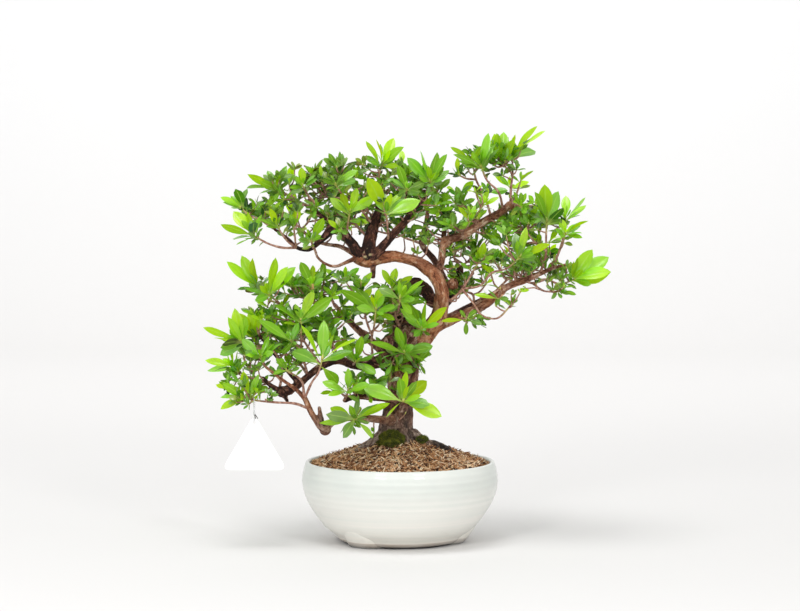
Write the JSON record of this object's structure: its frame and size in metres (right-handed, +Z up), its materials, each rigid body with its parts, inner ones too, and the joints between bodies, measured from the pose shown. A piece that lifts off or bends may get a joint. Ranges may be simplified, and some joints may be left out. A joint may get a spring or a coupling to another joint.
{
  "type": "potted bonsai tree",
  "caption": "Small azalea bonsai with a low arched trunk and whorls of bright green leaves, in a round pale glazed bowl, with a blank plant tag on a wire.",
  "frame": {"origin": "middle of the whole plant's box, on the surface that the bowl's feet stand on", "axes": "+Z up, -Y towards the viewer in front, +X to the viewer's right"},
  "size_m": [0.4032, 0.2161, 0.4156],
  "materials": {
    "glaze": "glossy pale celadon glaze",
    "mesh": "black moulded net",
    "soil": "coarse light brown husk fibre",
    "bark": "rough reddish brown bark",
    "leaf": "fresh green leaf, slightly glossy",
    "wire": "thin drawn wire",
    "tag": "plain white plate with no print"
  },
  "bodies": {
    "root": {"pot": "glaze", "drain_mesh": "mesh", "soil": "soil", "trunk": "bark", "spray_crown_01": "leaf", "spray_crown_02": "leaf", "spray_crown_03": "leaf", "spray_crown_04": "leaf", "spray_crown_05": "leaf", "spray_crown_06": "leaf", "spray_crown_07": "leaf", "spray_crown_08": "leaf", "spray_crown_09": "leaf", "spray_crown_10": "leaf", "spray_crown_11": "leaf", "spray_crown_12": "leaf", "spray_crown_13": "leaf", "spray_crown_14": "leaf", "spray_crown_15": "leaf", "spray_crown_16": "leaf", "spray_apex_01": "leaf", "spray_apex_02": "leaf", "spray_apex_03": "leaf", "spray_apex_04": "leaf", "spray_apex_05": "leaf", "spray_apex_06": "leaf", "spray_apex_07": "leaf", "spray_apex_08": "leaf", "spray_apex_09": "leaf", "spray_apex_10": "leaf", "spray_right_01": "leaf", "spray_right_02": "leaf", "spray_right_03": "leaf", "spray_right_04": "leaf", "spray_right_05": "leaf", "spray_right_06": "leaf", "spray_right_07": "leaf", "spray_right_08": "leaf", "spray_left_01": "leaf", "spray_left_02": "leaf", "spray_left_03": "leaf", "spray_left_04": "leaf", "spray_left_05": "leaf", "spray_left_06": "leaf", "spray_left_07": "leaf", "spray_left_08": "leaf", "spray_left_09": "leaf", "spray_left_10": "leaf", "spray_left_11": "leaf", "spray_left_12": "leaf", "spray_left_13": "leaf", "spray_left_14": "leaf", "spray_left_15": "leaf", "spray_left_16": "leaf", "spray_left_17": "leaf", "spray_left_18": "leaf", "spray_left_19": "leaf", "spray_left_20": "leaf", "tag_wire": "wire", "tag": "tag"}
  },
  "joints": []
}
